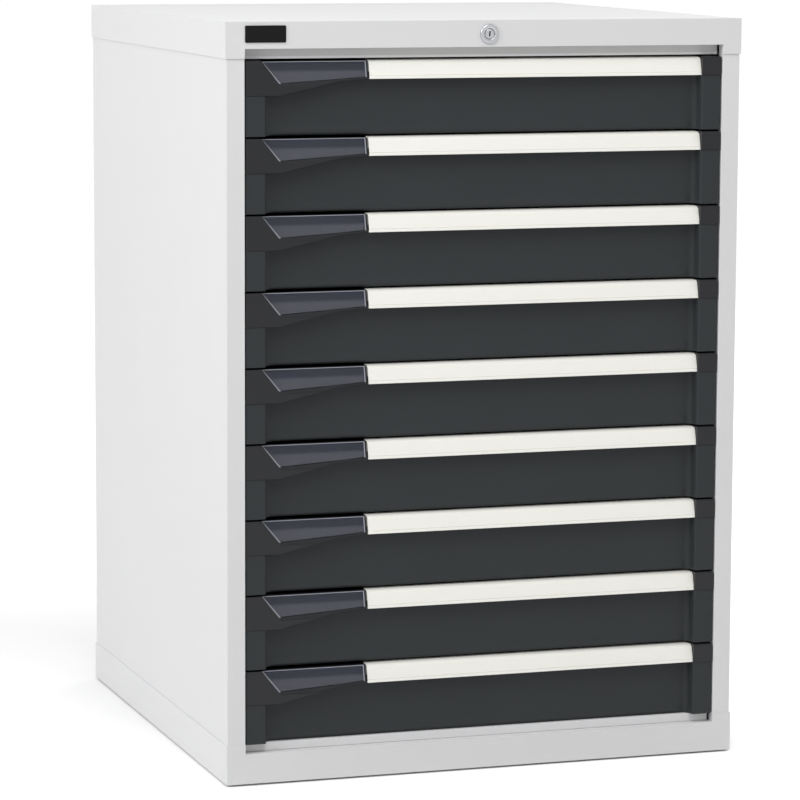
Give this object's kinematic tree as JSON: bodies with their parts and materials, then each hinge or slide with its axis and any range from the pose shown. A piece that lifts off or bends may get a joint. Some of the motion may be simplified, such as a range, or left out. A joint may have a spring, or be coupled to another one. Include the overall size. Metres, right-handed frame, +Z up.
{
  "type": "industrial drawer cabinet",
  "caption": "Free-standing sheet-steel workshop cabinet with a column of shallow drawers on roller runners, full-width handles with a label grip, and a central lock.",
  "frame": {"origin": "on the floor, in the middle of the outer box of the closed cabinet", "axes": "+X to the right seen from the front, +Y from the front to the back, +Z up"},
  "size_m": [0.717, 0.728, 1],
  "materials": {
    "grey_paint": "light grey powder coat, fine texture, low sheen",
    "dark_paint": "anthracite powder coat, satin",
    "zinc_steel": "zinc-plated sheet steel",
    "white_rail": "warm white paint on extruded aluminium, satin",
    "black_moulding": "black moulded plastic, fine grain",
    "clear_plastic": "clear moulded plastic with polished edges",
    "chrome": "polished chrome",
    "badge_black": "smooth black, blank"
  },
  "bodies": {
    "casing": {"top_cover": "grey_paint", "base_tray": "grey_paint", "side_panel_left": "grey_paint", "side_panel_right": "grey_paint", "back_panel": "grey_paint", "head_rail": "grey_paint", "foot_rail": "grey_paint", "rack_left": "zinc_steel", "rack_right": "zinc_steel", "lock_barrel": "chrome", "badge_plate": "badge_black"},
    "lock_plug": {"lock_plug": "chrome", "lock_cam": "zinc_steel"},
    "lock_slide": {"lock_slide": "zinc_steel"},
    "lock_bar": {"lock_bar": "zinc_steel"},
    "drawer_1": {"drawer_1_body": "dark_paint", "drawer_1_handle": "white_rail", "drawer_1_grip": "black_moulding", "drawer_1_label_window": "clear_plastic", "drawer_1_end_cap": "black_moulding"},
    "drawer_2": {"drawer_2_body": "dark_paint", "drawer_2_handle": "white_rail", "drawer_2_grip": "black_moulding", "drawer_2_label_window": "clear_plastic", "drawer_2_end_cap": "black_moulding"},
    "drawer_3": {"drawer_3_body": "dark_paint", "drawer_3_handle": "white_rail", "drawer_3_grip": "black_moulding", "drawer_3_label_window": "clear_plastic", "drawer_3_end_cap": "black_moulding"},
    "drawer_4": {"drawer_4_body": "dark_paint", "drawer_4_handle": "white_rail", "drawer_4_grip": "black_moulding", "drawer_4_label_window": "clear_plastic", "drawer_4_end_cap": "black_moulding"},
    "drawer_5": {"drawer_5_body": "dark_paint", "drawer_5_handle": "white_rail", "drawer_5_grip": "black_moulding", "drawer_5_label_window": "clear_plastic", "drawer_5_end_cap": "black_moulding"},
    "drawer_6": {"drawer_6_body": "dark_paint", "drawer_6_handle": "white_rail", "drawer_6_grip": "black_moulding", "drawer_6_label_window": "clear_plastic", "drawer_6_end_cap": "black_moulding"},
    "drawer_7": {"drawer_7_body": "dark_paint", "drawer_7_handle": "white_rail", "drawer_7_grip": "black_moulding", "drawer_7_label_window": "clear_plastic", "drawer_7_end_cap": "black_moulding"},
    "drawer_8": {"drawer_8_body": "dark_paint", "drawer_8_handle": "white_rail", "drawer_8_grip": "black_moulding", "drawer_8_label_window": "clear_plastic", "drawer_8_end_cap": "black_moulding"},
    "drawer_9": {"drawer_9_body": "dark_paint", "drawer_9_handle": "white_rail", "drawer_9_grip": "black_moulding", "drawer_9_label_window": "clear_plastic", "drawer_9_end_cap": "black_moulding"}
  },
  "joints": [
    {"name": "drawer_1_slide", "type": "slide", "parent": "casing", "child": "drawer_1", "axis": [0, -1, 0], "range_m": [0, 0.48]},
    {"name": "drawer_2_slide", "type": "slide", "parent": "casing", "child": "drawer_2", "axis": [0, -1, 0], "range_m": [0, 0.48]},
    {"name": "drawer_3_slide", "type": "slide", "parent": "casing", "child": "drawer_3", "axis": [0, -1, 0], "range_m": [0, 0.48]},
    {"name": "drawer_4_slide", "type": "slide", "parent": "casing", "child": "drawer_4", "axis": [0, -1, 0], "range_m": [0, 0.48]},
    {"name": "drawer_5_slide", "type": "slide", "parent": "casing", "child": "drawer_5", "axis": [0, -1, 0], "range_m": [0, 0.48]},
    {"name": "drawer_6_slide", "type": "slide", "parent": "casing", "child": "drawer_6", "axis": [0, -1, 0], "range_m": [0, 0.48]},
    {"name": "drawer_7_slide", "type": "slide", "parent": "casing", "child": "drawer_7", "axis": [0, -1, 0], "range_m": [0, 0.48]},
    {"name": "drawer_8_slide", "type": "slide", "parent": "casing", "child": "drawer_8", "axis": [0, -1, 0], "range_m": [0, 0.48]},
    {"name": "drawer_9_slide", "type": "slide", "parent": "casing", "child": "drawer_9", "axis": [0, -1, 0], "range_m": [0, 0.48]},
    {"name": "lock_turn", "type": "hinge", "parent": "casing", "child": "lock_plug", "pos_m": [0, -0.345, 0.982], "axis": [0, 1, 0], "range_deg": [0, 90]},
    {"name": "lock_slide_travel", "type": "slide", "parent": "casing", "child": "lock_slide", "axis": [-1, 0, 0], "range_m": [0, 0.01415]},
    {"name": "lock_bar_drop", "type": "slide", "parent": "casing", "child": "lock_bar", "axis": [-0.7071, 0, -0.7071], "range_m": [0, 0.02]}
  ],
  "couplings": [
    {"joint": "lock_turn", "follows": "lock_bar_drop", "rad_per_m": 78.54},
    {"joint": "lock_slide_travel", "follows": "lock_bar_drop", "ratio": 0.70711}
  ]
}
